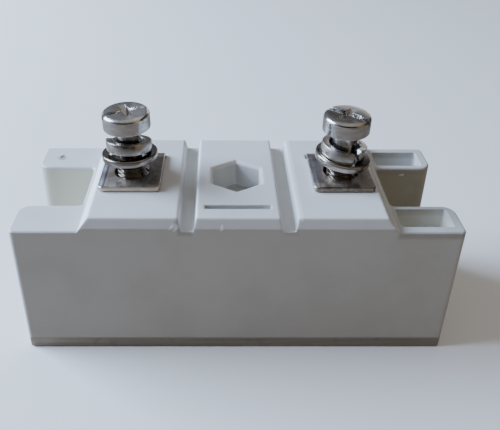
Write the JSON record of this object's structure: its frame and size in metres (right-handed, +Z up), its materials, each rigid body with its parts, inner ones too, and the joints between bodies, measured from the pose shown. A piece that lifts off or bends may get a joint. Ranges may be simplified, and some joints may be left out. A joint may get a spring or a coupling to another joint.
{
  "type": "rectifier diode module",
  "caption": "White plastic power rectifier module with screw terminals on raised blocks, empty pin pockets at one end and a metal base plate with end mounting slots.",
  "frame": {"origin": "centre of the base plate's underside", "axes": "+X along the row of terminals, towards the end with the open pockets; +Y from the pictured front to the rear; +Z up out of the base plate"},
  "size_m": [0.094, 0.0344, 0.0519],
  "materials": {
    "white_plastic": "fine matt moulded",
    "nickel_plated_copper": "nickel plated, satin",
    "plated_steel": "nickel plated, worn",
    "bare_copper": "bare copper",
    "solder": "dull solder",
    "alumina": "plain ceramic",
    "silicon": "polished silicon",
    "molybdenum": "ground",
    "clear_gel": "soft clear gel",
    "dark_resin": "cast resin",
    "grey_silicone": "cured silicone"
  },
  "bodies": {
    "root": {"base_plate": "nickel_plated_copper", "housing": "white_plastic", "sealing_bead": "grey_silicone", "substrate_solder": "solder", "substrate_copper": "bare_copper", "ceramic_board": "alumina", "pad_left": "bare_copper", "pad_right": "bare_copper", "chip_solder": "solder", "diode_chip": "silicon", "contact_solder": "solder", "contact_disc": "molybdenum", "clip_solder": "solder", "bridge_clip": "bare_copper", "clip_foot_solder": "solder", "foot_solder_left": "solder", "foot_solder_right": "solder", "terminal_left": "nickel_plated_copper", "terminal_right": "nickel_plated_copper", "nut_left": "plated_steel", "nut_right": "plated_steel", "screw_left": "plated_steel", "screw_right": "plated_steel", "washer_left": "plated_steel", "washer_right": "plated_steel", "spring_left": "plated_steel", "spring_right": "plated_steel", "silicone_gel": "clear_gel", "casting_resin": "dark_resin"}
  },
  "joints": []
}
